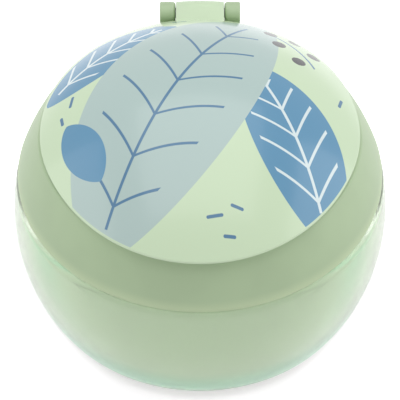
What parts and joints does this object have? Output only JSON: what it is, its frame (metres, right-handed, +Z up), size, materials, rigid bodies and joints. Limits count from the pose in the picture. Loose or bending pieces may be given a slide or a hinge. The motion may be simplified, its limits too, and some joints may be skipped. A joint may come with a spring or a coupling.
{
  "type": "snack container",
  "caption": "Round snack container: translucent bowl, screw collar with a flap membrane in its hand hole, and a domed flip-top lid hinged at the back.",
  "frame": {"origin": "centre of the bowl's foot, on the surface it stands on", "axes": "+Z up through the lid's top, -Y towards the front thumb lip, +Y towards the hinge"},
  "size_m": [0.108, 0.108, 0.08],
  "materials": {
    "bowl_plastic": "translucent pale green, smooth",
    "collar_plastic": "sage green, satin",
    "lid_plastic": "pale mint, satin gloss, with a printed pattern",
    "flap_rubber": "soft pale silicone",
    "silicone": "frosted white silicone",
    "pin_steel": "drawn wire"
  },
  "bodies": {
    "bowl": {"bowl": "bowl_plastic"},
    "gasket": {"bowl_gasket": "silicone"},
    "collar": {"collar": "collar_plastic", "hinge_pin": "pin_steel", "membrane_ring": "flap_rubber", "flap_retainer": "collar_plastic"},
    "lid": {"lid": "lid_plastic", "lid_seal": "silicone"},
    "flap_1": {"flap_1": "flap_rubber"},
    "flap_2": {"flap_2": "flap_rubber"},
    "flap_3": {"flap_3": "flap_rubber"},
    "flap_4": {"flap_4": "flap_rubber"},
    "flap_5": {"flap_5": "flap_rubber"},
    "flap_6": {"flap_6": "flap_rubber"}
  },
  "joints": [
    {"name": "collar_lift", "type": "slide", "parent": "bowl", "child": "gasket", "axis": [0, 0, 1], "range_m": [0, 0.006]},
    {"name": "collar_turn", "type": "hinge", "parent": "gasket", "child": "collar", "pos_m": [0, 0, 0.049], "axis": [0, 0, 1], "range_deg": [0, 360]},
    {"name": "lid_hinge", "type": "hinge", "parent": "collar", "child": "lid", "pos_m": [0, 0.049, 0.0602], "axis": [-1, 0, 0], "range_deg": [0, 210]},
    {"name": "flap_1_bend", "type": "hinge", "parent": "collar", "child": "flap_1", "pos_m": [0, 0.0277, 0.0576], "axis": [1, 0, 0], "range_deg": [-20, 75], "stiffness_Nm_per_rad": 0.01},
    {"name": "flap_2_bend", "type": "hinge", "parent": "collar", "child": "flap_2", "pos_m": [-0.02399, 0.01385, 0.0576], "axis": [0.5, 0.866, 0], "range_deg": [-20, 75], "stiffness_Nm_per_rad": 0.01},
    {"name": "flap_3_bend", "type": "hinge", "parent": "collar", "child": "flap_3", "pos_m": [-0.02399, -0.01385, 0.0576], "axis": [-0.5, 0.866, 0], "range_deg": [-20, 75], "stiffness_Nm_per_rad": 0.01},
    {"name": "flap_4_bend", "type": "hinge", "parent": "collar", "child": "flap_4", "pos_m": [0, -0.0277, 0.0576], "axis": [-1, 0, 0], "range_deg": [-20, 75], "stiffness_Nm_per_rad": 0.01},
    {"name": "flap_5_bend", "type": "hinge", "parent": "collar", "child": "flap_5", "pos_m": [0.02399, -0.01385, 0.0576], "axis": [-0.5, -0.866, 0], "range_deg": [-20, 75], "stiffness_Nm_per_rad": 0.01},
    {"name": "flap_6_bend", "type": "hinge", "parent": "collar", "child": "flap_6", "pos_m": [0.02399, 0.01385, 0.0576], "axis": [0.5, -0.866, 0], "range_deg": [-20, 75], "stiffness_Nm_per_rad": 0.01}
  ],
  "couplings": [
    {"joint": "collar_lift", "follows": "collar_turn", "m_per_rad": 0.00095493}
  ]
}
